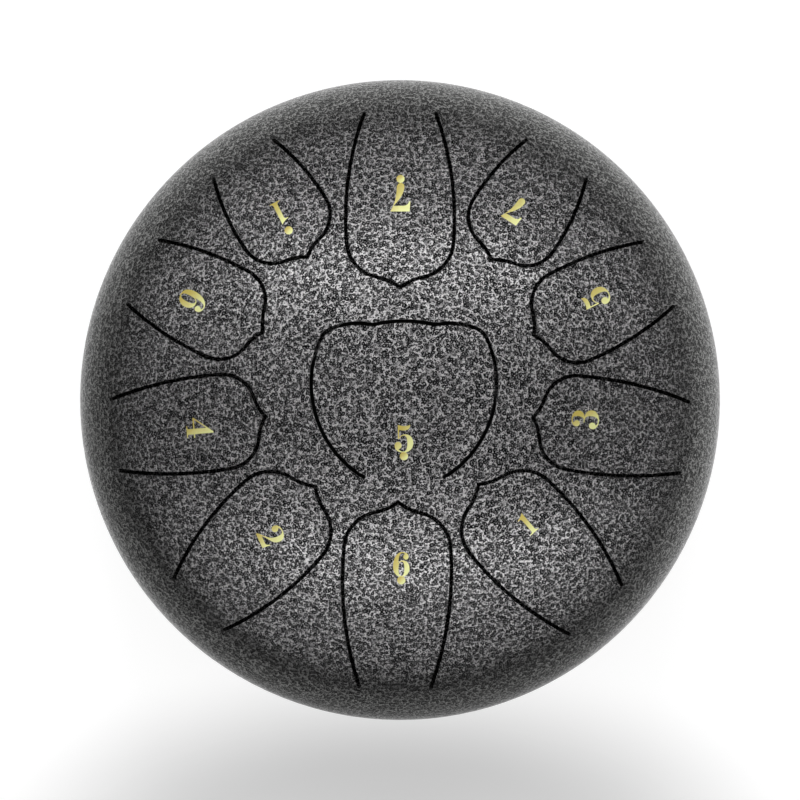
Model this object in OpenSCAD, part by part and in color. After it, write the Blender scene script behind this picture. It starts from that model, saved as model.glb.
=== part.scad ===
// Steel tongue drum: two pressed steel bowls welded rim to rim, eleven tuned tongues cut
// in the upper bowl, a sound hole below and four rubber feet. Millimetres, +Z up, the
// origin is on the drum's axis at the level of the floor that the feet stand on.

/* [Shell] */
// Outside diameter of both bowls
drum_d = 254; // [246:1:290]
// Thickness of the steel sheet
sheet = 2; // [1.6:0.1:2.6]
// Outside radius of the shallow crown of a bowl
crown_r = 230; // [205:1:260]
// Outside radius of the bend between the crown and the wall
knuckle_r = 36; // [30:1:42]
// Straight wall between the bend and the seam
skirt_h = 8; // [4:0.5:16]

/* [Seam] */
// Width of the weld bead on the outside of the wall
weld_w = 3; // [2:0.1:5]
// Depth of the groove that the bead fills
weld_depth = 1.2; // [0.8:0.1:1.5]
// How far the bead stands proud of the wall
weld_rise = 0.4; // [0.2:0.1:0.8]

/* [Outer tongues] */
// Width of the cut around every tongue
slot_w = 1.5; // [0.8:0.1:1.8]
// Distance from the drum's outside to the roots of the outer tongues
rim_margin = 15.5; // [12:0.5:20]
// Width of the four lowest outer tongues, as a share of the radius of the circle of roots
wide_tongue_share = 0.375; // [0.33:0.005:0.39]
// Width of the six higher outer tongues, as a share of the same radius
slim_tongue_share = 0.33; // [0.29:0.005:0.34]
// Width of an outer tongue where it grows out of the sheet, as a share of the same radius
tongue_root_share = 0.25; // [0.2:0.005:0.265]
// Steepness of the ogee at a tongue's point, in degrees
point_slope = 38; // [34:1:42]

/* [Centre tongue] */
// Width of the centre tongue
centre_w = 70.8; // [60:0.2:74]
// Length of the centre tongue from its root to the middle of its free edge
centre_l = 59.6; // [54:0.2:64]
// Width of its root
centre_root_w = 30.8; // [24:0.2:36]
// Distance from the drum's axis to its root
centre_root_y = 29.5; // [26:0.5:31]
// How far it lies to the right of the drum's axis
centre_shift = 1.5; // [0:0.5:3]
// Radius of its two shoulders
centre_shoulder_r = 8; // [5:0.5:12]
// Distance between the two notches in its free edge
notch_span = 23.6; // [18:0.2:28]
// Depth of a notch below the middle of the free edge
notch_depth = 1.4; // [0.8:0.1:1.8]
// Depth of the side lobes below the middle of the free edge
side_lobe_drop = 0.8; // [0.4:0.1:1]
// Distance from the tongue's axis to the top of a side lobe
side_lobe_x = 17.5; // [16:0.1:19]

/* [Sound hole] */
// Clear diameter of the sound hole
hole_d = 80; // [60:1:92]
// Inside radius of its turned-in lip
lip_r = 3; // [2:0.5:5]
// Straight end of the lip
lip_h = 2; // [1:0.5:5]

/* [Feet] */
// Distance from the drum's axis to a foot's screw, on the steel
foot_place_r = 68; // [64:1:78]
// Height of a foot along its screw
foot_h = 12; // [10:0.5:18]
// Diameter of a foot at the steel
foot_top_d = 20; // [17:0.5:24]
// Diameter of a foot near the floor
foot_end_d = 16; // [14:0.5:20]
// Rubber clamped between the steel and the washer
foot_web = 4.5; // [3:0.5:6]
// Diameter of the recess for the screw's head
recess_d = 10; // [9.6:0.1:11.5]

/* [Fasteners] */
// Diameter of a foot's screw
screw_d = 4; // [3:0.1:4.4]
// Diameter of its pan head
head_d = 7.6; // [6.5:0.1:8.5]
// Height of its pan head
head_h = 2.4; // [2:0.1:3]
// Length of screw that stands out of the nut
screw_out = 1.5; // [0.5:0.5:4]
// Outside diameter of the washers
washer_d = 9; // [8.6:0.1:9.4]
// Thickness of the washers
washer_t = 0.8; // [0.5:0.1:1.2]
// Width of a nut across its flats
nut_w = 7; // [6.2:0.1:8]
// Height of a nut
nut_h = 3.2; // [2.5:0.1:4]

/* [Fits] */
// Gap across a tongue's root that lets it flex on its own
root_gap = 0.1; // [0.05:0.01:0.2]
// Clearance between a foot and the steel
seat_gap = 0.1; // [0.05:0.01:0.2]
// Clearance round a screw in the holes that it passes
hole_gap = 0.25; // [0.1:0.05:0.4]
// Clearance round a screw in the thread of its nut
thread_gap = 0.05; // [0.03:0.01:0.1]

/* [Hidden] */
$fn = 180;

paint_colour = [0.27, 0.27, 0.28];
tongue_colour = [0.33, 0.33, 0.34];
rubber_colour = [0.10, 0.10, 0.10];
zinc_colour = [0.72, 0.73, 0.75];

// Outer tongues from the lowest note to the highest: low 6, low 7, 1, 2, 3, 4, 5, 6, 7, high 1
LOW_6 = 0;
LOW_7 = 1;
NOTE_1 = 2;
NOTE_2 = 3;
NOTE_3 = 4;
NOTE_4 = 5;
NOTE_5 = 6;
NOTE_6 = 7;
NOTE_7 = 8;
HIGH_1 = 9;
OUTER = [LOW_6, LOW_7, NOTE_1, NOTE_2, NOTE_3, NOTE_4, NOTE_5, NOTE_6, NOTE_7, HIGH_1];
// Direction of each outer tongue's axis round the drum, in degrees
tongue_angles = [269, 90, 313, 225.5, 352.5, 187, 26, 153.5, 57, 123];
// Length of each outer tongue as a share of the radius of the circle of roots
tongue_length_share = [0.65, 0.615, 0.605, 0.585, 0.54, 0.535, 0.49, 0.475, 0.425, 0.415];
// Distance from a tongue's point to its widest place, as a share of its length
belly_share = 0.4;
// Radius of the shoulders beside the point, as a share of the tongue's half width
shoulder_r_share = 0.7;
// Distance from the point to the centres of the shoulders, as a share of the half width
shoulder_y_share = 0.88;
// Directions of the feet round the drum: front left, front right, back left, back right
foot_angles = [225, 315, 135, 45];
// Sides of a nut
nut_sides = 6;
// Pan head: share of its height that is straight, and share of its width that is flat on top
head_straight_share = 0.45;
head_top_share = 0.7;
// Cross recess of a screw: width and length as shares of the head's width, depth of its height
cross_w_share = 0.14;
cross_l_share = 0.56;
cross_depth_share = 0.6;
// Overrun of every cut
over = 1;

drum_r = drum_d / 2;
half_slot = slot_w / 2;
// Centre of the bend in a bowl's section, and depth of the crown's centre below it
knuckle_x = drum_r - knuckle_r;
crown_drop = sqrt(pow(crown_r - knuckle_r, 2) - pow(knuckle_x, 2));
crown_rise = crown_r - crown_drop;
// Tilt of a foot, square to the crown of the lower bowl
foot_tilt = asin(foot_place_r / crown_r);
// Heights above the floor: centre of the lower crown, seam, and bend of the upper bowl
lower_crown_z = (crown_r + foot_h) * cos(foot_tilt);
seam_z = lower_crown_z - crown_drop + skirt_h;
upper_bend_z = seam_z + skirt_h;
root_circle_r = drum_r - rim_margin;
tongue_root_w = tongue_root_share * root_circle_r;
// Lip of the sound hole: place of its bend's centre from the drum's axis and the crown's centre
lip_x = hole_d / 2 + sheet + lip_r;
lip_centre_r = crown_r - sheet - lip_r;
// Inner face of the crown at the rim of a flat washer, measured along the screw from the outer face
inner_seat = crown_r - sqrt(pow(crown_r - sheet, 2) - pow(washer_d / 2, 2));
nut_seat = inner_seat + washer_t;
head_seat = foot_web + washer_t;

// Plane geometry

function unit(v) = v / norm(v);
function flip(p) = [-p[0], p[1]];
// Crossing of two circles, to the left (1) or right (-1) of the way from the first centre to the second
function crossing(c1, r1, c2, r2, side) =
  let (
    gap = norm(c2 - c1),
    way = (c2 - c1) / gap,
    along = (r1 * r1 - r2 * r2 + gap * gap) / (2 * gap),
    off = sqrt(r1 * r1 - along * along)
  )
  c1 + along * way + side * off * [-way[1], way[0]];

// Radii and coarse places are kept to a thousandth of a millimetre
function neat(v) = round(v * 1000) / 1000;

// Places a disc in a coarse and a fine step, which keeps the joins between arcs smooth to a
// millionth of a millimetre also where the coordinates are written out with six digits
module disc(centre, r) {
  coarse = [neat(centre[0]), neat(centre[1])];
  translate(coarse) translate(centre - coarse) circle(r = r);
}

// The part of a disc that lies inside a polygon
module disc_in(centre, r, points) {
  intersection() {
    disc(centre, r);
    polygon(points);
  }
}

// Corners of an upright rectangle
function frame(low, high) = [low, [high[0], low[1]], high, [low[0], high[1]]];

module both_sides() {
  children();
  mirror([1, 0]) children();
}

// Tongue outlines: the point or free edge is at the origin, the root along +Y. The
// outline of the slot's middle is drawn with grow = 0, the tongue's with a negative value.

function half_width(i) = (i <= NOTE_2 ? wide_tongue_share : slim_tongue_share) * root_circle_r / 2;
function tongue_length(i) = tongue_length_share[i] * root_circle_r;
// Radius of a flank that runs from the widest place to the root
function flank_radius(half_w, half_root, run) =
  neat((run * run + pow(half_w - half_root, 2)) / (2 * (half_w - half_root)));
// Radius of the ogee that leaves the point at a given slope and meets a shoulder smoothly
function ogee_radius(centre, r) =
  neat((centre * centre - r * r) / (2 * (r + centre[0] * sin(point_slope) - centre[1] * cos(point_slope))));

// Point where the outline leaves an arc for its neighbour, which lies in the direction given
function join(centre, r, way) = centre + r * unit(way);

// The tongue between its two flanks, from the joins with the shoulders to the root
module between_flanks(flank_c, flank_r, hip, root_y) {
  intersection() {
    disc(flank_c, flank_r);
    disc(flip(flank_c), flank_r);
    polygon(frame([-2 * hip[0], hip[1]], [2 * hip[0], root_y]));
  }
}

// The outline is cut into parts by lines square to its axis, at the height of each join
module outer_outline(i, grow, root_y) {
  half_w = half_width(i);
  length = tongue_length(i);
  belly_y = belly_share * length;
  flank_r = flank_radius(half_w, tongue_root_w / 2, length - belly_y);
  flank_c = [half_w - flank_r, belly_y];
  shoulder_r = neat(shoulder_r_share * half_w);
  shoulder_y = shoulder_y_share * half_w;
  shoulder_x = flank_c[0] + sqrt(pow(flank_r - shoulder_r, 2) - pow(belly_y - shoulder_y, 2));
  shoulder_c = [shoulder_x, shoulder_y];
  ogee_r = ogee_radius(shoulder_c, shoulder_r);
  ogee_c = crossing(shoulder_c, shoulder_r + ogee_r, [0, 0], ogee_r, 1);
  hip = join(shoulder_c, shoulder_r + grow, shoulder_c - flank_c);
  turn = join(shoulder_c, shoulder_r + grow, ogee_c - shoulder_c);
  between_flanks(flank_c, flank_r + grow, hip, root_y);
  both_sides() disc_in(shoulder_c, shoulder_r + grow, frame([0, turn[1]], [2 * hip[0], hip[1]]));
  polygon(frame([-shoulder_x, turn[1]], [shoulder_x, hip[1]]));
  difference() {
    polygon(frame([-ogee_c[0], ogee_c[1]], [ogee_c[0], turn[1]]));
    both_sides() disc(ogee_c, ogee_r - grow);
  }
}

module centre_outline(grow, root_y) {
  half_w = centre_w / 2;
  belly_y = belly_share * centre_l;
  flank_r = flank_radius(half_w, centre_root_w / 2, centre_l - belly_y);
  flank_c = [half_w - flank_r, belly_y];
  middle_r = neat((pow(notch_span / 2, 2) + pow(notch_depth, 2)) / (2 * notch_depth));
  lobe_run = side_lobe_x - notch_span / 2;
  lobe_rise = notch_depth - side_lobe_drop;
  lobe_r = neat((lobe_run * lobe_run + lobe_rise * lobe_rise) / (2 * lobe_rise));
  lobe_c = [side_lobe_x, side_lobe_drop + lobe_r];
  shoulder_c = crossing(flank_c, flank_r - centre_shoulder_r, lobe_c, lobe_r - centre_shoulder_r, -1);
  hip = join(shoulder_c, centre_shoulder_r + grow, shoulder_c - flank_c);
  turn = join(shoulder_c, centre_shoulder_r + grow, shoulder_c - lobe_c);
  low_y = -centre_shoulder_r;
  between_flanks(flank_c, flank_r + grow, hip, root_y);
  both_sides() disc_in(shoulder_c, centre_shoulder_r + grow,
    frame([turn[0], low_y], [2 * hip[0], hip[1]]));
  both_sides() disc_in(lobe_c, lobe_r + grow,
    frame([notch_span / 2 - lobe_run, low_y], [turn[0], hip[1]]));
  disc_in([0, middle_r], middle_r + grow, frame([-side_lobe_x, low_y], [side_lobe_x, hip[1]]));
}

// Round ends of the two slots beside a root
module slot_ends(root_w, root_y) {
  both_sides()
    disc_in([root_w / 2, root_y], half_slot, frame([0, root_y], [root_w, root_y + slot_w]));
}

module place_outer(i) {
  rotate([0, 0, tongue_angles[i] - 90])
    translate([0, root_circle_r - tongue_length(i)])
      children();
}

module place_centre() {
  translate([centre_shift, centre_l - centre_root_y])
    rotate([0, 0, 180])
      children();
}

// Shells: the section of a bowl lies with the centre of its bend at the height of the origin.
// It is what lies inside the outer face but not inside the inner face, a sheet deeper. Both
// faces are joined from arcs, which meet on lines through the points where they touch.

crown_c = [0, -crown_drop];
bend_c = [knuckle_x, 0];
lip_c = crown_c + [lip_x, sqrt(pow(lip_centre_r, 2) - pow(lip_x, 2))];
// Distance from the drum's axis to the joins with the bend and with the lip, at a depth in the sheet
function bend_join_x(depth) = join(crown_c, crown_r - depth, bend_c - crown_c)[0];
function lip_join_x(depth) = join(crown_c, crown_r - depth, lip_c - crown_c)[0];

// What lies inside a bowl's face at a depth in the sheet, from start_x outwards
module in_bowl(depth, start_x, bottom) {
  join_x = bend_join_x(depth);
  disc_in(crown_c, crown_r - depth, frame([start_x, bottom], [join_x, crown_r]));
  disc_in(bend_c, knuckle_r - depth, frame([join_x, 0], [drum_r, knuckle_r]));
  polygon(frame([join_x, bottom], [drum_r - depth, 0]));
}

// What lies between the same face of the sound hole's lip and the start of the bowl
module in_lip(depth, bottom) {
  join_x = lip_join_x(depth);
  disc_in(lip_c, lip_r + sheet - depth, frame([0, lip_c[1]], [join_x, crown_r]));
  polygon(frame([hole_d / 2 + depth, bottom], [join_x, lip_c[1]]));
}

// Half of the groove that the weld fills
module weld_groove() {
  polygon([
    [drum_r - 2 * weld_depth, -weld_w / 2 - skirt_h],
    [drum_r + weld_depth, -weld_w / 2 - skirt_h],
    [drum_r + weld_depth, weld_w - skirt_h]
  ]);
}

module upper_bowl() {
  translate([0, 0, upper_bend_z]) rotate_extrude() difference() {
    in_bowl(0, 0, -skirt_h);
    in_bowl(sheet, 0, -skirt_h - over);
    weld_groove();
  }
}

module lower_bowl() {
  translate([0, 0, seam_z - skirt_h]) mirror([0, 0, 1]) rotate_extrude() difference() {
    union() {
      in_lip(0, lip_c[1] - lip_h);
      in_bowl(0, lip_join_x(0), -skirt_h);
    }
    in_lip(sheet, -skirt_h - over);
    in_bowl(sheet, lip_join_x(sheet), -skirt_h - over);
    weld_groove();
  }
}

// A column through the upper sheet, from below the tongues to above the crown
module through_crown() {
  translate([0, 0, upper_bend_z]) linear_extrude(height = crown_rise + over) children();
}

module upper_shell() {
  color(paint_colour) difference() {
    upper_bowl();
    through_crown() {
      for (i = OUTER) place_outer(i) {
        outer_outline(i, half_slot, tongue_length(i));
        slot_ends(tongue_root_w, tongue_length(i));
      }
      place_centre() {
        centre_outline(half_slot, centre_l);
        slot_ends(centre_root_w, centre_l);
      }
    }
  }
}

// Places its children on the lower crown at each foot: +Z runs down and out of the drum
module at_foot(angle) {
  translate([0, 0, lower_crown_z])
    rotate([0, 0, angle])
      rotate([0, 180 - foot_tilt, 0])
        translate([0, 0, crown_r])
          children();
}

module lower_shell() {
  color(paint_colour) difference() {
    lower_bowl();
    for (angle = foot_angles) at_foot(angle)
      translate([0, 0, -sheet - over])
        cylinder(r = screw_d / 2 + hole_gap, h = sheet + 2 * over);
  }
}

module seam_weld() {
  low = [drum_r, -weld_w / 2];
  high = [drum_r, weld_w / 2];
  out = [weld_w, 0];
  bulge_r = (pow(weld_w / 2, 2) + pow(weld_rise, 2)) / (2 * weld_rise);
  color(paint_colour) translate([0, 0, seam_z]) rotate_extrude() {
    polygon([[drum_r - weld_depth, 0], low, high]);
    disc_in([drum_r + weld_rise - bulge_r, 0], bulge_r, [low, low + out, high + out, high]);
  }
}

// Tongues

module outer_tongue(i) {
  color(tongue_colour) intersection() {
    upper_bowl();
    through_crown() place_outer(i) outer_outline(i, -half_slot, tongue_length(i) - root_gap);
  }
}

module tongue_low_5() {
  color(tongue_colour) intersection() {
    upper_bowl();
    through_crown() place_centre() centre_outline(-half_slot, centre_l - root_gap);
  }
}

module tongue_low_6() { outer_tongue(LOW_6); }
module tongue_low_7() { outer_tongue(LOW_7); }
module tongue_1() { outer_tongue(NOTE_1); }
module tongue_2() { outer_tongue(NOTE_2); }
module tongue_3() { outer_tongue(NOTE_3); }
module tongue_4() { outer_tongue(NOTE_4); }
module tongue_5() { outer_tongue(NOTE_5); }
module tongue_6() { outer_tongue(NOTE_6); }
module tongue_7() { outer_tongue(NOTE_7); }
module tongue_high_1() { outer_tongue(HIGH_1); }

// Feet: rubber buffers, square to the steel and pressed flat where they stand on the floor

module foot(angle) {
  reach = foot_h + foot_end_d / 2;
  reach_d = foot_top_d - (foot_top_d - foot_end_d) * reach / foot_h;
  color(rubber_colour) intersection() {
    difference() {
      at_foot(angle) difference() {
        union() {
          translate([0, 0, -over]) cylinder(d = foot_top_d, h = over);
          cylinder(d1 = foot_top_d, d2 = reach_d, h = reach);
        }
        translate([0, 0, -over]) cylinder(r = screw_d / 2 + hole_gap, h = reach);
        translate([0, 0, foot_web]) cylinder(d = recess_d, h = reach);
      }
      translate([0, 0, lower_crown_z]) sphere(r = crown_r + seat_gap);
    }
    translate([-drum_r, -drum_r, 0]) cube([drum_d, drum_d, seam_z]);
  }
}

module foot_front_left() { foot(foot_angles[0]); }
module foot_front_right() { foot(foot_angles[1]); }
module foot_back_left() { foot(foot_angles[2]); }
module foot_back_right() { foot(foot_angles[3]); }

// Section of a pan head screw: the shank runs down from the head's seat, the head up
module screw_section(shank) {
  translate([0, -shank]) square([screw_d / 2, shank]);
  polygon([
    [0, 0],
    [head_d / 2, 0],
    [head_d / 2, head_straight_share * head_h],
    [head_top_share * head_d / 2, head_h],
    [0, head_h]
  ]);
}

module foot_screws() {
  shank = head_seat + nut_seat + nut_h + screw_out;
  cross_l = cross_l_share * head_d;
  cross_w = cross_w_share * head_d;
  color(zinc_colour) for (angle = foot_angles) at_foot(angle) translate([0, 0, head_seat]) difference() {
    rotate_extrude() screw_section(shank);
    translate([0, 0, head_h * (1 - cross_depth_share)]) for (turn = [0, 90]) rotate([0, 0, turn])
      translate([-cross_l / 2, -cross_w / 2, 0]) cube([cross_l, cross_w, head_h]);
  }
}

module washer() {
  difference() {
    cylinder(d = washer_d, h = washer_t);
    translate([0, 0, -over]) cylinder(r = screw_d / 2 + hole_gap, h = washer_t + 2 * over);
  }
}

module foot_washers() {
  color(zinc_colour) for (angle = foot_angles) at_foot(angle)
    translate([0, 0, foot_web]) washer();
}

module inner_washers() {
  color(zinc_colour) for (angle = foot_angles) at_foot(angle)
    translate([0, 0, -nut_seat]) washer();
}

module foot_nuts() {
  color(zinc_colour) for (angle = foot_angles) at_foot(angle)
    translate([0, 0, -nut_seat - nut_h]) difference() {
      cylinder(d = nut_w / cos(180 / nut_sides), h = nut_h, $fn = nut_sides);
      translate([0, 0, -over]) cylinder(r = screw_d / 2 + thread_gap, h = nut_h + 2 * over);
    }
}

upper_shell();
lower_shell();
seam_weld();
tongue_low_5();
tongue_low_6();
tongue_low_7();
tongue_1();
tongue_2();
tongue_3();
tongue_4();
tongue_5();
tongue_6();
tongue_7();
tongue_high_1();
foot_front_left();
foot_front_right();
foot_back_left();
foot_back_right();
foot_screws();
foot_washers();
inner_washers();
foot_nuts();
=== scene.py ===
"""Looks of the steel tongue drum: hammer paint, gold foil note numbers, rubber, zinc, floor and light."""
import math

import bmesh
import bpy
from mathutils import Matrix, Vector
from mathutils.bvhtree import BVHTree
from mathutils.geometry import tessellate_polygon


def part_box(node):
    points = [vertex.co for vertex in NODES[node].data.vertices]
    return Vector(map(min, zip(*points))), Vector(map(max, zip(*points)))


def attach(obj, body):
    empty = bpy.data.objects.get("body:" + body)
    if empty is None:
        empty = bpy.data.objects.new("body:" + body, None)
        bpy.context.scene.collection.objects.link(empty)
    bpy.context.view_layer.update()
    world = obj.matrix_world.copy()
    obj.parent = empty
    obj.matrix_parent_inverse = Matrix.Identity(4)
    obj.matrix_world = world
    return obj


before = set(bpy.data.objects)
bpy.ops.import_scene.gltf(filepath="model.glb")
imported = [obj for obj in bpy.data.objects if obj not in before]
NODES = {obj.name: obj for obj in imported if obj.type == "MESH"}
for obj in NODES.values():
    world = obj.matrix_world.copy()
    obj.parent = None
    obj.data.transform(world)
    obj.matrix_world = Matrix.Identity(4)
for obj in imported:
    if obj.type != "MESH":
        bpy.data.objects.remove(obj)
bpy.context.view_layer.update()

MM = 0.001


# Node graphs

class Graph:
    """Small helper that adds nodes and links them."""

    def __init__(self, tree):
        self.tree = tree
        tree.nodes.clear()

    def add(self, kind, settings=None, **inputs):
        """A node with its settings, and its inputs by name with _ for a blank."""
        node = self.tree.nodes.new(kind)
        for key, value in (settings or {}).items():
            setattr(node, key, value)
        for key, value in inputs.items():
            self.put(node.inputs[key.replace("_", " ")], value)
        return node

    def put(self, socket, value):
        """Link an output to the socket, or set the socket's own value."""
        if isinstance(value, bpy.types.NodeSocket):
            self.tree.links.new(value, socket)
        else:
            socket.default_value = value

    def math(self, operation, a, b=0.0, c=0.0):
        node = self.tree.nodes.new("ShaderNodeMath")
        node.operation = operation
        for socket, value in zip(node.inputs, (a, b, c)):
            self.put(socket, value)
        return node.outputs[0]

    def ramp(self, value, low, high, to_low=0.0, to_high=1.0):
        """Smooth step of a value from low to high."""
        node = self.add("ShaderNodeMapRange", {"interpolation_type": "SMOOTHSTEP"}, Value=value)
        for key, v in (("From Min", low), ("From Max", high), ("To Min", to_low), ("To Max", to_high)):
            self.put(node.inputs[key], v)
        return node.outputs["Result"]

    def mix(self, factor, a, b):
        """A colour between a and b."""
        node = self.tree.nodes.new("ShaderNodeMix")
        node.data_type = "RGBA"
        for index, value in ((0, factor), (6, a), (7, b)):
            self.put(node.inputs[index], value)
        return node.outputs[2]

    def noise(self, vector, scale, detail=3.0, rough=0.5):
        node = self.add("ShaderNodeTexNoise", Vector=vector, Scale=scale, Detail=detail, Roughness=rough)
        return node.outputs["Fac"]

    def moved(self, vector, offset, scale=(1.0, 1.0, 1.0)):
        node = self.add("ShaderNodeMapping", Vector=vector, Location=offset, Scale=scale)
        return node.outputs["Vector"]

    def dot(self, vector, constant):
        node = self.add("ShaderNodeVectorMath", {"operation": "DOT_PRODUCT"})
        self.put(node.inputs[0], vector)
        self.put(node.inputs[1], constant)
        return node.outputs["Value"]

    def length(self, vector):
        return self.add("ShaderNodeVectorMath", {"operation": "LENGTH"}, Vector=vector).outputs["Value"]

    def bump(self, strength, distance, height):
        node = self.add("ShaderNodeBump", Strength=strength, Distance=distance, Height=height)
        return node.outputs["Normal"]


def grey(v, tint=(1.0, 1.0, 1.0)):
    return (v * tint[0], v * tint[1], v * tint[2], 1.0)


def new_material(name):
    """A material with its node graph and its output node."""
    material = bpy.data.materials.new(name)
    material.use_nodes = True
    graph = Graph(material.node_tree)
    out = graph.add("ShaderNodeOutputMaterial")
    return material, graph, out


# Hammer paint

# The pale web between the pits, the pits, their pale middles painted as glints, and both of them on the
# walls, where the web is darker as painted shade of the steep sides
WEB_PALE = grey(0.695, (1.0, 0.975, 0.985))
WEB_DEEP = grey(0.250, (1.0, 0.99, 1.02))
PIT = grey(0.002, (1.0, 1.0, 1.3))
PAINTED_PIT_GLINT = grey(0.600, (1.0, 1.0, 1.02))
SHADED_WALL_WEB = grey(0.158, (1.0, 1.01, 0.97))
WALL_PIT = grey(0.012)
# Layers of pits: cells per metre, least and greatest radius in cells, softness, strength, shift of the cells
PIT_LAYERS = [
    (505.0, 0.22, 0.55, 0.035, 1.0, (0.0, 0.0, 0.0)),
    (1000.0, 0.20, 0.52, 0.050, 1.0, (0.37, 0.11, 0.0)),
    (230.0, 0.30, 0.45, 0.040, 0.35, (0.73, 0.41, 0.0)),
]
# Share of a pit's radius that its pale middle, a painted glint, takes, and the shares between which the pit's
# side rises
PIT_CORE = 0.44
PIT_SIDE = (0.35, 1.05)
# Height of each layer after the first, and how deep all the relief is
LAYER_HEIGHT = 0.45
PIT_DEPTH = 0.28 * MM
# How far noise pushes the pits out of shape, and how fine that noise is
WARP_WIDE = 1.5 * MM
WARP_WIDE_SCALE = 330.0
WARP_FINE = 0.65 * MM
WARP_FINE_SCALE = 1600.0
# Distances from the axis between which the paint turns to the smoother paint of the walls, whose darker web
# is painted shade of the steep sides
WALL_RANGE = (0.096, 0.122)
# Fine grain, and the values of it between which the web turns pale and a pit's middle shows
GRAIN_SCALE = 2300.0
WEB_GRAIN = (0.41, 0.57)
MIDDLE_GRAIN = (0.35, 0.60)
# Wide clouds that weaken the pits a little
CLOUD_SCALE = 60.0
CLOUD_RANGE = (0.30, 0.60)
CLOUD_LEAST = 0.96
# Low waves of the paint's surface
WAVE_SCALE = 520.0
WAVE_HEIGHT = 0.5
# How much of a pit's gloss its pale middle loses
MIDDLE_LOSS = 0.6
# Roughness, metal and clear coat, each of the web and of a pit, and what the walls change
PAINT_ROUGH = (0.46, 0.32)
WALL_ROUGH = -0.10
PAINT_METAL = (0.80, 1.0)
PAINT_COAT = (1.0, 0.08)
WALL_COAT = 0.7
COAT_ROUGH = 0.10
COAT_IOR = 1.8
PAINT_IOR = 1.5
# The drum's two bowls share one pattern, laid out flat from the middle of each
DRUM_MIDDLE = (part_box("seam_weld")[0][2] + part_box("seam_weld")[1][2]) / 2
DRUM_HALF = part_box("tongue_low_5")[1][2] - DRUM_MIDDLE
# Shift of the lower bowl's pattern, so that the two don't mirror each other across the seam
LOWER_SHIFT = 0.31


def laid_out(g, from_axis, parts):
    """The bowl's surface spread out flat: as far from the middle as it is along the sheet."""
    level = g.math("ABSOLUTE", g.math("SUBTRACT", parts.outputs["Z"], DRUM_MIDDLE))
    along = g.math("ADD", from_axis, g.math("SUBTRACT", DRUM_HALF, level))
    stretch = g.math("DIVIDE", along, from_axis)
    shift = g.math("MULTIPLY", g.math("LESS_THAN", parts.outputs["Z"], DRUM_MIDDLE), LOWER_SHIFT)
    flat = g.add("ShaderNodeCombineXYZ", X=g.math("MULTIPLY_ADD", parts.outputs["X"], stretch, shift),
                 Y=g.math("MULTIPLY", parts.outputs["Y"], stretch), Z=0.0)
    return flat.outputs["Vector"]


def pit_field(g, coords):
    """How much of a point is pit, how much is a pit's pale middle (its painted glint), and the height of the
    paint.
    """
    dark = None
    middle = None
    height = None
    for scale, least, greatest, soft, strength, offset in PIT_LAYERS:
        cells = g.add("ShaderNodeTexVoronoi", {"feature": "F1", "voronoi_dimensions": "2D"},
                      Vector=g.moved(coords, offset), Scale=scale, Randomness=1.0)
        pick = g.add("ShaderNodeSeparateColor", Color=cells.outputs["Color"]).outputs["Red"]
        radius = g.math("MULTIPLY_ADD", pick, greatest - least, least)
        beyond = g.math("SUBTRACT", cells.outputs["Distance"], radius)
        inside = g.math("MULTIPLY", g.ramp(beyond, -soft, soft, 1.0, 0.0), strength)
        share = g.math("DIVIDE", cells.outputs["Distance"], radius)
        core = g.math("MULTIPLY", g.ramp(share, 0.0, PIT_CORE, 1.0, 0.0), inside)
        bowl = g.ramp(share, *PIT_SIDE)
        dark = inside if dark is None else g.math("MAXIMUM", dark, inside)
        middle = core if middle is None else g.math("MAXIMUM", middle, core)
        height = bowl if height is None else g.math("MULTIPLY_ADD", bowl, LAYER_HEIGHT, height)
    whole_height = 1 + LAYER_HEIGHT * (len(PIT_LAYERS) - 1)
    return dark, middle, g.math("MULTIPLY", height, 1 / whole_height)


def warped(g, coords, scale, reach):
    """Coordinates pushed about by noise."""
    bend = g.add("ShaderNodeTexNoise", Vector=coords, Scale=scale, Detail=2.0)
    centred = g.add("ShaderNodeVectorMath", {"operation": "SUBTRACT"})
    g.put(centred.inputs[0], bend.outputs["Color"])
    g.put(centred.inputs[1], (0.5, 0.5, 0.5))
    shift = g.add("ShaderNodeVectorMath", {"operation": "MULTIPLY_ADD"})
    g.put(shift.inputs[0], centred.outputs["Vector"])
    g.put(shift.inputs[1], (reach, reach, reach))
    g.put(shift.inputs[2], coords)
    return shift.outputs["Vector"]


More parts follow.
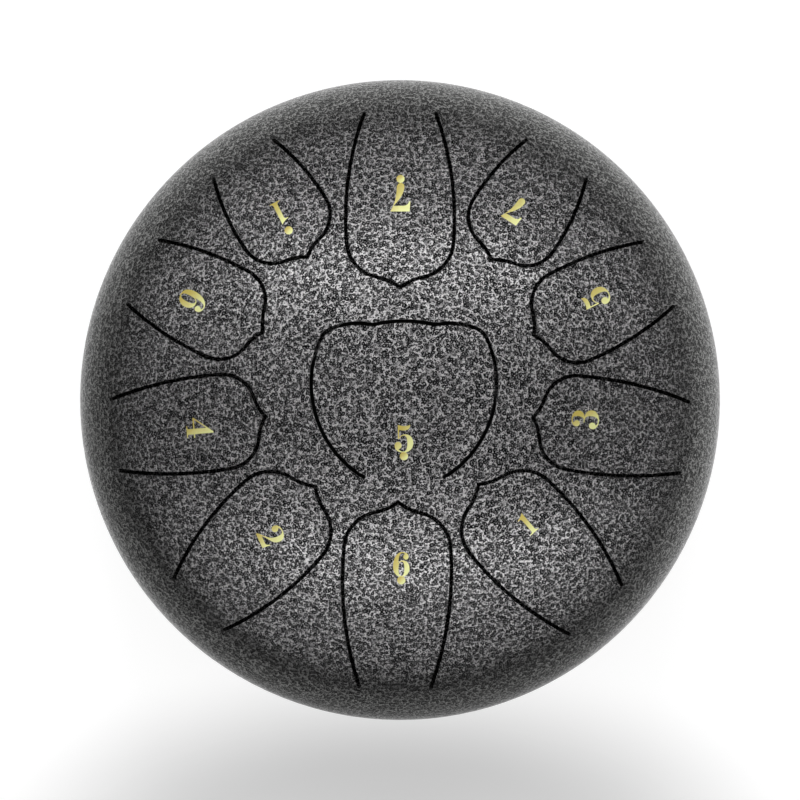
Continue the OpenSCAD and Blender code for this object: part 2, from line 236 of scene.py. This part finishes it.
def hammer_paint(name, extra_height=None):
    """Glossy dark grey hammer finish: pale metallic paint full of small dark pits with pale middles painted
    as glints, darker on the walls as painted shade.
    """
    material, g, out = new_material(name)
    place = g.add("ShaderNodeTexCoord").outputs["Object"]
    parts = g.add("ShaderNodeSeparateXYZ", Vector=place)
    from_axis = g.math("SQRT", g.math("ADD", g.math("POWER", parts.outputs["X"], 2.0),
                                      g.math("POWER", parts.outputs["Y"], 2.0)))
    flat = laid_out(g, from_axis, parts)
    coords = warped(g, warped(g, flat, WARP_WIDE_SCALE, WARP_WIDE), WARP_FINE_SCALE, WARP_FINE)
    dark, middle, height = pit_field(g, coords)
    wall = g.ramp(from_axis, *WALL_RANGE)
    cloud = g.noise(place, CLOUD_SCALE, 3.0, 0.6)
    grain = g.noise(place, GRAIN_SCALE, 3.0, 0.7)
    # On the walls the web turns darker: painted shade of the steep sides
    web = g.mix(wall, g.mix(g.ramp(grain, *WEB_GRAIN), WEB_DEEP, WEB_PALE), SHADED_WALL_WEB)
    # Painted glint: the pale middle of each pit, where the grain lets it show
    painted_glint = g.math("MULTIPLY", middle, g.ramp(grain, *MIDDLE_GRAIN))
    pit = g.mix(painted_glint, g.mix(wall, PIT, WALL_PIT), g.mix(wall, PAINTED_PIT_GLINT, SHADED_WALL_WEB))
    colour = g.mix(g.math("MULTIPLY", dark, g.ramp(cloud, *CLOUD_RANGE, CLOUD_LEAST, 1.0)), web, pit)
    relief = g.math("MULTIPLY_ADD", g.noise(place, WAVE_SCALE, 3.0, 0.6), WAVE_HEIGHT, height)
    if extra_height:
        relief = g.math("ADD", relief, extra_height(g, place))
    normal = g.bump(1.0, PIT_DEPTH, relief)
    shade = g.math("MULTIPLY", dark, g.math("SUBTRACT", 1.0, g.math("MULTIPLY", middle, MIDDLE_LOSS)))
    rough = g.math("MULTIPLY_ADD", wall, WALL_ROUGH, g.ramp(shade, 0.0, 1.0, *PAINT_ROUGH))
    metal = g.ramp(shade, 0.0, 1.0, *PAINT_METAL)
    coat = g.math("MULTIPLY", g.ramp(shade, 0.0, 1.0, *PAINT_COAT), g.ramp(wall, 0.0, 1.0, 1.0, WALL_COAT))
    shader = g.add("ShaderNodeBsdfPrincipled", Base_Color=colour, Metallic=metal, Roughness=rough,
                   IOR=PAINT_IOR, Normal=normal, Coat_Weight=coat, Coat_Roughness=COAT_ROUGH,
                   Coat_IOR=COAT_IOR, Coat_Normal=normal)
    g.put(out.inputs["Surface"], shader.outputs[0])
    return material


# Ripples of the weld all the way round, how uneven they are, and their height in pit depths
RIPPLES = 460.0
RIPPLE_DRIFT = 0.03
RIPPLE_DRIFT_SCALE = 120.0
RIPPLE_HEIGHT = 0.7


def weld_ripples(g, place):
    """Height of fine uneven ripples that run across the bead."""
    parts = g.add("ShaderNodeSeparateXYZ", Vector=place)
    turn = g.math("ARCTAN2", parts.outputs["Y"], parts.outputs["X"])
    uneven = g.math("MULTIPLY", g.noise(place, RIPPLE_DRIFT_SCALE, 2.0), RIPPLE_DRIFT)
    wave = g.math("SINE", g.math("MULTIPLY", g.math("ADD", turn, uneven), RIPPLES))
    return g.math("MULTIPLY", wave, RIPPLE_HEIGHT)


# Rubber

RUBBER_DARK = grey(0.012)
RUBBER_PALE = grey(0.022)
DUST = grey(0.055, (1.0, 0.97, 0.92))
RUBBER_CLOUD_SCALE = 160.0
PORE_SCALE = 2600.0
DUST_SCALE = 420.0
DUST_RANGE = (0.52, 0.75)
RUBBER_ROUGH = (0.62, 0.80)
PORE_DEPTH = 0.04 * MM


def rubber():
    """Black rubber with pores and a little dust."""
    material, g, out = new_material("rubber")
    place = g.add("ShaderNodeTexCoord").outputs["Object"]
    cloud = g.noise(place, RUBBER_CLOUD_SCALE, 4.0, 0.6)
    pores = g.noise(place, PORE_SCALE, 2.0, 0.6)
    dust = g.ramp(g.noise(place, DUST_SCALE, 4.0, 0.7), *DUST_RANGE)
    colour = g.mix(dust, g.mix(cloud, RUBBER_DARK, RUBBER_PALE), DUST)
    rough = g.ramp(cloud, 0.3, 0.7, *RUBBER_ROUGH)
    shader = g.add("ShaderNodeBsdfPrincipled", Base_Color=colour, Roughness=rough, IOR=1.5,
                   Specular_IOR_Level=0.4, Normal=g.bump(0.6, PORE_DEPTH, g.math("ADD", pores, cloud)))
    g.put(out.inputs["Surface"], shader.outputs[0])
    return material


# Zinc

ZINC_COOL = grey(0.50, (0.98, 0.99, 1.02))
ZINC_WARM = grey(0.66, (1.0, 0.99, 0.96))
BLOOM_SCALE = 900.0
SCRATCH_SCALE = 2400.0
SCRATCH_STRETCH = (1.0, 6.0, 1.0)
SCRATCH_DEPTH = 0.02 * MM
ZINC_ROUGH = (0.24, 0.42)


def zinc():
    """Bright zinc plate with a faint bloom and fine scratches."""
    material, g, out = new_material("zinc")
    place = g.add("ShaderNodeTexCoord").outputs["Object"]
    bloom = g.noise(place, BLOOM_SCALE, 4.0, 0.65)
    scratch = g.noise(g.moved(place, (0.0, 0.0, 0.0), SCRATCH_STRETCH), SCRATCH_SCALE, 3.0, 0.6)
    colour = g.mix(g.ramp(bloom, 0.3, 0.7), ZINC_COOL, ZINC_WARM)
    rough = g.ramp(bloom, 0.25, 0.75, *ZINC_ROUGH)
    shader = g.add("ShaderNodeBsdfPrincipled", Base_Color=colour, Metallic=1.0, Roughness=rough,
                   Normal=g.bump(0.5, SCRATCH_DEPTH, scratch))
    g.put(out.inputs["Surface"], shader.outputs[0])
    return material


# Gold foil

# The foil's gold where its painted sheen is deepest and where it is palest
FOIL_SHADED = (0.66, 0.53, 0.115, 1.0)
FOIL_LIT = (0.98, 1.00, 0.46, 1.0)
# Painted sheen: the foil turns pale towards +X by this much and towards -Y by 1, over this range, with some
# mottle
FOIL_SHEEN_SLANT = 0.9
FOIL_SHEEN_RANGE = (-0.45, 0.85)
MOTTLE_SCALE = 700.0
MOTTLE = 0.5
CREASE_SCALE = 1500.0
CREASE_DEPTH = 0.03 * MM
FOIL_METAL = 0.25
FOIL_ROUGH = (0.34, 0.46)


def gold_foil():
    """Pale gold foil with a painted sheen: deeper at the upper left of each number and paler at its lower
    right.
    """
    material, g, out = new_material("gold_foil")
    coords = g.add("ShaderNodeTexCoord")
    parts = g.add("ShaderNodeSeparateXYZ", Vector=coords.outputs["Generated"])
    painted_sheen = g.math("SUBTRACT", g.math("MULTIPLY", parts.outputs["X"], FOIL_SHEEN_SLANT), parts.outputs["Y"])
    mottle = g.noise(coords.outputs["Object"], MOTTLE_SCALE, 3.0, 0.6)
    level = g.math("MULTIPLY_ADD", mottle, MOTTLE, painted_sheen)
    colour = g.mix(g.ramp(level, *FOIL_SHEEN_RANGE), FOIL_SHADED, FOIL_LIT)
    creases = g.noise(coords.outputs["Object"], CREASE_SCALE, 3.0)
    rough = g.ramp(mottle, 0.3, 0.7, *FOIL_ROUGH)
    shader = g.add("ShaderNodeBsdfPrincipled", Base_Color=colour, Metallic=FOIL_METAL, Roughness=rough,
                   Normal=g.bump(0.35, CREASE_DEPTH, creases))
    g.put(out.inputs["Surface"], shader.outputs[0])
    return material


# Materials of the CAD nodes

PAINT = hammer_paint("hammer_paint")
WELD_PAINT = hammer_paint("hammer_paint_weld", weld_ripples)
RUBBER = rubber()
ZINC = zinc()
FOIL = gold_foil()


def give(obj, material):
    obj.data.materials.clear()
    obj.data.materials.append(material)


for node_name, node_object in NODES.items():
    if node_name == "seam_weld":
        give(node_object, WELD_PAINT)
    elif node_name in ("upper_shell", "lower_shell") or node_name.startswith("tongue_"):
        give(node_object, PAINT)
    elif node_name in ("foot_screws", "foot_washers", "inner_washers", "foot_nuts"):
        give(node_object, ZINC)
    else:
        give(node_object, RUBBER)


# The drum's top as a height

def top_of(node):
    """A function that gives the height of a node's top above a point of the floor."""
    mesh = NODES[node].data
    tree = BVHTree.FromPolygons([v.co for v in mesh.vertices], [p.vertices for p in mesh.polygons])

    def height(x, y):
        return tree.ray_cast(Vector((x, y, 1.0)), Vector((0.0, 0.0, -1.0)))[0].z

    return height


SHARP_ANGLE = math.radians(35)
# Each mesh is put in order along this slanting line, so that it is the same in each run
ORDER_WAY = Vector((1.0, 0.7549, 0.5698))


def add_mesh(name, bm, material, body):
    """Make a piece of the scene that rides on a body and takes the given material."""
    mesh = bpy.data.meshes.new(name)
    bmesh.ops.recalc_face_normals(bm, faces=bm.faces)
    bm.verts.sort(key=lambda vert: vert.co.dot(ORDER_WAY))
    bm.faces.sort(key=lambda face: face.calc_center_median().dot(ORDER_WAY))
    bm.to_mesh(mesh)
    bm.free()
    obj = bpy.data.objects.new(name, mesh)
    bpy.context.scene.collection.objects.link(obj)
    mesh.materials.append(material)
    for polygon in mesh.polygons:
        polygon.use_smooth = True
    mesh.set_sharp_from_angle(angle=SHARP_ANGLE)
    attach(obj, body)


def aimed(degrees):
    return Vector((math.cos(math.radians(degrees)), math.sin(math.radians(degrees))))


# Root strips

STRIP_HALF = 0.35 * MM
STRIP_TOP = 0.012 * MM
STRIP_DEPTH = 0.15 * MM
STRIP_END = 0.05 * MM
STRIP_STEPS = 48
ROOT_GAP = 0.1 * MM
# Points of a strip's section: share of the way from its inner to its outer edge, and height over the sheet
STRIP_SECTION = ((0.0, -STRIP_DEPTH), (0.0, STRIP_TOP), (0.5, STRIP_TOP), (1.0, STRIP_TOP),
                 (1.0, -STRIP_DEPTH))
# Vertices of a tongue no further than this from its far end are on its root
ROOT_TOLERANCE = 1e-6
# Direction of each tongue's root from its free end, in degrees
ROOT_ANGLES = {"low_5": 270.0, "low_6": 269.0, "low_7": 90.0, "1": 313.0, "2": 225.5, "3": 352.5, "4": 187.0,
               "5": 26.0, "6": 153.5, "7": 57.0, "high_1": 123.0}


def root_line(name, out):
    """Middle and half length of the line on which a tongue ends, seen from above."""
    side = Vector((-out.y, out.x))
    points = [v.co.xy for v in NODES["tongue_" + name].data.vertices]
    reach = max(p.dot(out) for p in points)
    across = [p.dot(side) for p in points if p.dot(out) > reach - ROOT_TOLERANCE]
    middle = out * (reach + ROOT_GAP) + side * (min(across) + max(across)) / 2
    return middle, (max(across) - min(across)) / 2


def root_strip(name, out):
    """Thin skin of paint that closes the line where a tongue grows out of the sheet."""
    middle, half_length = root_line(name, out)
    half_length -= STRIP_END
    shell_top = top_of("upper_shell")
    tongue_top = top_of("tongue_" + name)
    side = Vector((-out.y, out.x))
    bm = bmesh.new()
    rings = []
    for i in range(STRIP_STEPS + 1):
        along = middle + side * half_length * (2 * i / STRIP_STEPS - 1)
        outer = along + out * STRIP_HALF
        inner = along - out * (STRIP_HALF + ROOT_GAP)
        z_outer = shell_top(outer.x, outer.y)
        z_inner = tongue_top(inner.x, inner.y)
        ring = []
        for share, lift in STRIP_SECTION:
            point = inner.lerp(outer, share)
            ring.append(bm.verts.new((point.x, point.y, z_inner + (z_outer - z_inner) * share + lift)))
        rings.append(ring)
    for a, b in zip(rings, rings[1:]):
        for k in range(len(a)):
            j = (k + 1) % len(a)
            bm.faces.new((a[k], a[j], b[j], b[k]))
    bm.faces.new(rings[0])
    bm.faces.new(list(reversed(rings[-1])))
    add_mesh("root_skin_" + name, bm, PAINT, "drum")


for tongue, degrees in ROOT_ANGLES.items():
    root_strip(tongue, aimed(degrees))


# Note numbers

# Outlines of the digits on a square of 100: a start, then points of straight lines and of cubic curves
DIGITS = {
    "1": [[(10, 0), (60, 0), (60, 3.5), (50, 4, 47, 7, 47, 15), (47, 100), (38, 93, 25, 87, 9, 84), (9, 80.5),
           (18, 82, 26, 81, 26, 74), (26, 15), (26, 7, 23, 4, 10, 3.5)]],
    "2": [[(5, 0), (72, 0), (76, 33), (72, 33), (70, 23, 65, 17.5, 57, 17.5), (24, 17.5),
           (33, 26, 40, 30, 50, 36), (68, 46, 78, 58, 78, 74), (78, 92, 62, 102, 40, 102),
           (20, 102, 6, 92, 6, 78), (6, 70, 12, 64, 20, 64), (28, 64, 34, 70, 34, 77),
           (34, 84, 29, 89, 22, 90), (25, 95, 31, 98, 38, 98), (49, 98, 54, 90, 54, 75),
           (54, 60, 50, 50, 40, 38), (28, 24, 10, 14, 5, 5)]],
    "3": [[(38, 102), (60, 102, 73, 92, 73, 77), (73, 65, 64, 57, 51, 54.5), (69, 52, 80, 43, 80, 27),
           (80, 10, 62, -2, 38, -2), (17, -2, 4, 7, 4, 20), (4, 28, 10, 34, 18, 34),
           (26, 34, 31, 28, 31, 21), (31, 14, 27, 10, 21, 9), (24, 4, 30, 2, 38, 2), (51, 2, 56, 11, 56, 28),
           (56, 45, 50, 52.5, 36, 52.5), (27, 52.5), (27, 56), (34, 56), (46, 56, 50, 64, 50, 78),
           (50, 92, 46, 98, 37, 98), (30, 98, 25, 96, 22, 92), (28, 91, 33, 87, 33, 80),
           (33, 74, 28, 69, 21, 69), (14, 69, 8, 74, 8, 82), (8, 94, 20, 102, 38, 102)]],
    "4": [[(62, 101), (68, 101), (68, 31), (83, 31), (83, 26), (68, 26), (68, 9),
           (68, 5, 71, 4, 81, 3.5), (81, 0), (33, 0), (33, 3.5), (43, 4, 46, 5, 46, 9), (46, 26), (2, 26),
           (2, 30)],
          [(46, 31), (46, 75), (9, 31)]],
    "5": [[(18, 101), (35, 95, 52, 95, 68, 101), (68, 88, 59, 80, 42, 80), (34, 80, 28, 81, 23.5, 82.5),
           (23.5, 55), (30, 62, 38, 66, 47, 66), (68, 66, 80, 53, 80, 33), (80, 12, 63, -2, 40, -2),
           (20, -2, 5, 8, 5, 23), (5, 32, 11, 38, 19, 38), (27, 38, 33, 32, 33, 24), (33, 16, 28, 12, 21, 11),
           (25, 5, 32, 2, 39, 2), (51, 2, 56, 13, 56, 33), (56, 52, 51, 61, 43, 61), (34, 61, 27, 56, 23, 49),
           (18, 49)]],
    "6": [[(45, 102), (20, 102, 4, 75, 4, 42), (4, 14, 18, -2, 41, -2), (64, -2, 78, 13, 78, 34),
           (78, 54, 65, 67, 47, 67), (38, 67, 31, 62, 28, 54), (28, 80, 34, 98, 46, 98),
           (52, 98, 56, 96, 58, 93), (53, 91, 50, 87, 50, 82), (50, 75, 55, 70, 62, 70),
           (69, 70, 74, 75, 74, 82), (74, 94, 62, 102, 45, 102)],
          [(41, 2), (31, 2, 28, 14, 28, 32), (28, 50, 33, 62, 42, 62), (51, 62, 55, 50, 55, 33),
           (55, 13, 51, 2, 41, 2)]],
    "7": [[(8, 100), (80, 100), (80, 97), (68, 78, 58, 52, 57, 20), (57, 7, 52, -2, 42, -2),
           (31, -2, 26, 6, 28, 16), (31, 40, 50, 62, 70, 81), (58, 79.5, 46, 79.5, 36, 79.5),
           (22, 79.5, 14, 76, 10, 64), (5, 64)]],
}
DIGIT_MIDDLE = {"1": 34, "2": 41, "3": 42, "4": 43, "5": 42.5, "6": 41, "7": 42.5}
DIGIT_HEIGHT = 100
DIGIT_SQUEEZE = 0.92
CURVE_STEPS = 10
# An outline whose last point is this close to its first is closed already
CLOSE_TOLERANCE = 1e-6
# For each tongue: digit, its middle on the drum's top in millimetres, the direction of its upper end, its
# height, and how far along that direction its dot lies
NUMBERS = {
    "low_5": ("5", 1.5, -14.7, 90.0, 10.3, -6.7),
    "low_6": ("6", 0.5, -63.0, 90.0, 9.2, -6.2),
    "low_7": ("7", 0.2, 77.9, 270.0, 11.0, -7.3),
    "1": ("1", 48.7, -47.4, 131.0, 9.0, None),
    "2": ("2", -49.6, -52.3, 25.0, 9.8, None),
    "3": ("3", 71.2, -7.3, 173.0, 10.3, None),
    "4": ("4", -77.1, -10.6, 5.0, 10.4, None),
    "5": ("5", 75.6, 39.2, 206.0, 10.6, None),
    "6": ("6", -80.0, 38.4, 333.0, 10.4, None),
    "7": ("7", 44.7, 73.2, 237.0, 10.4, None),
    "high_1": ("1", -46.3, 72.1, 297.0, 9.2, 7.7),
}
DOT_R = 1.58 * MM
DOT_STEPS = 40
# Heights of the foil's top and bottom over the tongue, and the squares on which it follows the tongue's curve
FOIL_TOP = 0.05 * MM
FOIL_BOTTOM = -0.04 * MM
FOIL_GRID = 1.0 * MM
MERGE_DISTANCE = 1e-7


def trace(path):
    """Points along an outline of straight lines and cubic curves."""
    points = [Vector(path[0])]
    for step in path[1:]:
        if len(step) == 2:
            points.append(Vector(step))
            continue
        p0, p1, p2, p3 = points[-1], Vector(step[0:2]), Vector(step[2:4]), Vector(step[4:6])
        for k in range(1, CURVE_STEPS + 1):
            t = k / CURVE_STEPS
            u = 1 - t
            points.append(u**3 * p0 + 3 * u * u * t * p1 + 3 * u * t * t * p2 + t**3 * p3)
    if (points[0] - points[-1]).length < CLOSE_TOLERANCE:
        points.pop()
    return points


def foil(name, outlines, height, body):
    """A thin closed piece of foil with the given outlines that lies on a tongue."""
    bm = bmesh.new()
    flat = [bm.verts.new((p.x, p.y, 0.0)) for outline in outlines for p in outline]
    for triangle in tessellate_polygon([[Vector((p.x, p.y, 0.0)) for p in outline] for outline in outlines]):
        bm.faces.new([flat[i] for i in triangle])
    low = [min(v.co[k] for v in flat) for k in (0, 1)]
    high = [max(v.co[k] for v in flat) for k in (0, 1)]
    for k, normal in ((0, Vector((1.0, 0.0, 0.0))), (1, Vector((0.0, 1.0, 0.0)))):
        at = low[k] + FOIL_GRID / 2
        while at < high[k]:
            everything = bm.verts[:] + bm.edges[:] + bm.faces[:]
            bmesh.ops.bisect_plane(bm, geom=everything, plane_co=normal * at, plane_no=normal)
            at += FOIL_GRID
    bmesh.ops.remove_doubles(bm, verts=bm.verts, dist=MERGE_DISTANCE)
    raised = bmesh.ops.extrude_face_region(bm, geom=bm.faces[:])
    tops = {item for item in raised["geom"] if isinstance(item, bmesh.types.BMVert)}
    for v in bm.verts:
        v.co.z = height(v.co.x, v.co.y) + (FOIL_TOP if v in tops else FOIL_BOTTOM)
    add_mesh(name, bm, FOIL, body)


for tongue, (digit, mx, my, up_degrees, tall, dot) in NUMBERS.items():
    up = aimed(up_degrees)
    right = Vector((up.y, -up.x))
    middle = Vector((mx, my)) * MM
    unit = tall * MM / DIGIT_HEIGHT
    across = right * unit * DIGIT_SQUEEZE
    shapes = []
    for outline in DIGITS[digit]:
        from_middle = [(p.x - DIGIT_MIDDLE[digit], p.y - DIGIT_HEIGHT / 2) for p in trace(outline)]
        shapes.append([middle + across * x + up * y * unit for x, y in from_middle])
    tongue_height = top_of("tongue_" + tongue)
    foil("number_" + tongue, shapes, tongue_height, "tongue_" + tongue)
    if dot is not None:
        centre = middle + up * dot * MM
        turn = 2 * math.pi / DOT_STEPS
        circle = [centre + DOT_R * Vector((math.cos(k * turn), math.sin(k * turn))) for k in range(DOT_STEPS)]
        foil("dot_" + tongue, [circle], tongue_height, "tongue_" + tongue)


# Camera

CAMERA_HEIGHT = 1.4758
CAMERA_ANGLE = 0.2261
camera = bpy.data.objects.new("camera", bpy.data.cameras.new("camera"))
camera.data.angle = CAMERA_ANGLE
camera.location = (0.0, 0.0, CAMERA_HEIGHT)
bpy.context.scene.collection.objects.link(camera)
bpy.context.scene.camera = camera


# Lamps

CEILING = 1.5
# The long strips hang this much over the short ones
STRIP_RISE = 0.02
# Strip lamps: name, place on the ceiling, rise, size along X and Y, radiance
STRIPS = [
    ("back_strip", (0.0, 0.82), (0.0, 0.80), 0.0, 2.0, 0.40, 2.5),
    ("back_strip_long", (0.0, 0.80), (0.0, 0.80), STRIP_RISE, 4.2, 0.46, 0.9),
    ("front_strip", (0.2, -1.02), (0.2, -1.02), 0.0, 2.3, 0.46, 2.4),
    ("front_strip_long", (0.1, -1.02), (0.1, -1.02), STRIP_RISE, 3.6, 0.54, 0.75),
]
# The key lamp: its lean from upright, its distance, the point it faces, its side and its radiance
KEY_LEAN = math.radians(55.0)
KEY_AWAY = 2.2
KEY_AIM = (0.0, 0.0, 0.07)
KEY_SIDE = 0.9
KEY_RADIANCE = 5.0


def panel(name, place, aim, size_x, size_y, radiance):
    """A flat lamp at a place that faces a point, with its length along X."""
    data = bpy.data.lights.new(name, "AREA")
    data.shape = "RECTANGLE"
    data.size = size_x
    data.size_y = size_y
    data.energy = radiance * math.pi * size_x * size_y
    lamp = bpy.data.objects.new(name, data)
    lamp.location = place
    way = (Vector(place) - Vector(aim)).normalized()
    side = Vector((1.0, 0.0, 0.0))
    lamp.rotation_mode = "QUATERNION"
    lamp.rotation_quaternion = Matrix((side, way.cross(side), way)).transposed().to_quaternion()
    bpy.context.scene.collection.objects.link(lamp)
    return lamp


for name, over, aim, rise, size_x, size_y, radiance in STRIPS:
    panel(name, (*over, CEILING + rise), (*aim, 0.0), size_x, size_y, radiance)
key_place = (0.0, KEY_AWAY * math.sin(KEY_LEAN), KEY_AWAY * math.cos(KEY_LEAN))
key = panel("key", key_place, KEY_AIM, KEY_SIDE, KEY_SIDE, KEY_RADIANCE)
key.visible_glossy = False


# World: pale horizon under a dim ceiling

# How much lighter the studio's walls get towards +X and +Y, what they have besides, and the least of them
WALL_LIGHT = (0.07, 0.20, 0.0)
WALL_LEVEL = 0.17
WALL_LEAST = 0.02
SLOPE = grey(0.12)
OVERHEAD = grey(0.36)
# Heights over the horizon, as sines, between which one turns to the next
HORIZON_END = (0.0, 0.03)
SLOPE_START = (0.1, 0.7)
OVERHEAD_START = (0.8, 1.0)


def fill_world():
    """White for the camera, and plain soft walls and ceiling that light the drum."""
    world = bpy.data.worlds.new("studio")
    bpy.context.scene.world = world
    world.use_nodes = True
    g = Graph(world.node_tree)
    direction = g.add("ShaderNodeTexCoord").outputs["Generated"]
    rise = g.add("ShaderNodeSeparateXYZ", Vector=direction).outputs["Z"]
    rays = g.add("ShaderNodeLightPath")
    mirrored = g.math("MAXIMUM", rays.outputs["Is Glossy Ray"], rays.outputs["Is Transmission Ray"])
    horizon = g.math("MULTIPLY", mirrored, g.ramp(rise, *HORIZON_END, 1.0, 0.0))
    white = g.math("MAXIMUM", rays.outputs["Is Camera Ray"], horizon)
    walls = g.math("MAXIMUM", g.math("ADD", g.dot(direction, WALL_LIGHT), WALL_LEVEL), WALL_LEAST)
    walls = g.add("ShaderNodeCombineColor", Red=walls, Green=walls, Blue=walls).outputs["Color"]
    slope = g.mix(g.ramp(rise, *SLOPE_START), walls, SLOPE)
    sky = g.mix(white, g.mix(g.ramp(rise, *OVERHEAD_START), slope, OVERHEAD), grey(1.0))
    background = g.add("ShaderNodeBackground", Color=sky, Strength=1.0)
    g.put(g.add("ShaderNodeOutputWorld").inputs["Surface"], background.outputs[0])


fill_world()


# Floor

FLOOR_R = 9.0
FLOOR_SEGMENTS = 96
FLOOR_DEEP = grey(0.44)
FLOOR_PALE = grey(0.46)
FLOOR_NOISE = 3.0
FLOOR_GLOW = 0.78
# The photo's soft shadow in front of the drum: a wide ellipse of lower glow
SHADOW_GLOW = 0.39
SHADOW_MIDDLE = (-0.0035, -0.184)
SHADOW_WIDE = 2.66
SHADOW_R = 0.0527
SHADOW_SOFT = 0.0250
# Painted shade under the drum: its tone, the distances from the axis over which that dark tone ends, and over
# which the glow starts, so that the glow fades out towards the drum as painted contact shadow
PAINTED_SHADE_UNDER = grey(0.03)
UNDER_END = (0.045, 0.080)
GLOW_START = (0.06, 0.135)
# The floor's glow that the paint mirrors is painted light: brighter towards this side, by the share from
# MIRROR_LEAST to 1, bright all round next to the drum, and keeping a share of its glow under it as painted
# shade
MIRROR_LEAN = (0.45, 0.90, 0.0)
MIRROR_RANGE = (-0.22, 0.16)
MIRROR_LEAST = 0.34
MIRROR_NEAR = (0.145, 0.225)
MIRROR_UNDER = 0.25


def floor_material():
    """White floor that keeps the drum's shadow, with a painted shadow in front of the drum and painted shade
    under it, and lets a view from below through.
    """
    material, g, out = new_material("floor")
    place = g.add("ShaderNodeTexCoord").outputs["Object"]
    away = g.length(place)
    squeezed = g.moved(place, (-SHADOW_MIDDLE[0] / SHADOW_WIDE, -SHADOW_MIDDLE[1], 0.0),
                       (1 / SHADOW_WIDE, 1.0, 1.0))
    # The paper's tone, with painted shade under the drum
    tone_and_shade = g.mix(g.ramp(away, *UNDER_END), PAINTED_SHADE_UNDER, g.mix(g.noise(place, FLOOR_NOISE), FLOOR_DEEP, FLOOR_PALE))
    paper = g.add("ShaderNodeBsdfDiffuse", Color=tone_and_shade)
    rays = g.add("ShaderNodeLightPath")
    mirrored = g.math("MAXIMUM", rays.outputs["Is Glossy Ray"], rays.outputs["Is Transmission Ray"])
    dim = g.ramp(g.dot(place, MIRROR_LEAN), *MIRROR_RANGE, MIRROR_LEAST, 1.0)
    dimmed = g.math("MULTIPLY", mirrored, g.math("MAXIMUM", dim, g.ramp(away, *MIRROR_NEAR, 1.0, 0.0)))
    dimmed = g.math("MULTIPLY", dimmed, g.ramp(away, *GLOW_START, MIRROR_UNDER, 1.0))
    # The glow the camera sees fades out under the drum: painted contact shadow
    shown = g.math("MULTIPLY", rays.outputs["Is Camera Ray"], g.ramp(away, *GLOW_START))
    level = g.ramp(g.length(squeezed), SHADOW_R - SHADOW_SOFT, SHADOW_R + SHADOW_SOFT,
                   SHADOW_GLOW, FLOOR_GLOW)
    strength = g.math("MULTIPLY", g.math("MAXIMUM", shown, dimmed), level)
    glow = g.add("ShaderNodeEmission", Color=grey(1.0), Strength=strength)
    both = g.add("ShaderNodeAddShader")
    g.put(both.inputs[0], paper.outputs[0])
    g.put(both.inputs[1], glow.outputs[0])
    side = g.add("ShaderNodeMixShader", Fac=g.add("ShaderNodeNewGeometry").outputs["Backfacing"])
    g.put(side.inputs[1], both.outputs[0])
    g.put(side.inputs[2], g.add("ShaderNodeBsdfTransparent").outputs[0])
    g.put(out.inputs["Surface"], side.outputs[0])
    return material


bm = bmesh.new()
bmesh.ops.create_circle(bm, cap_ends=True, radius=FLOOR_R, segments=FLOOR_SEGMENTS)
floor_mesh = bpy.data.meshes.new("floor")
bm.to_mesh(floor_mesh)
bm.free()
floor = bpy.data.objects.new("floor", floor_mesh)
floor_mesh.materials.append(floor_material())
bpy.context.scene.collection.objects.link(floor)

bpy.context.scene.view_settings.view_transform = "Standard"
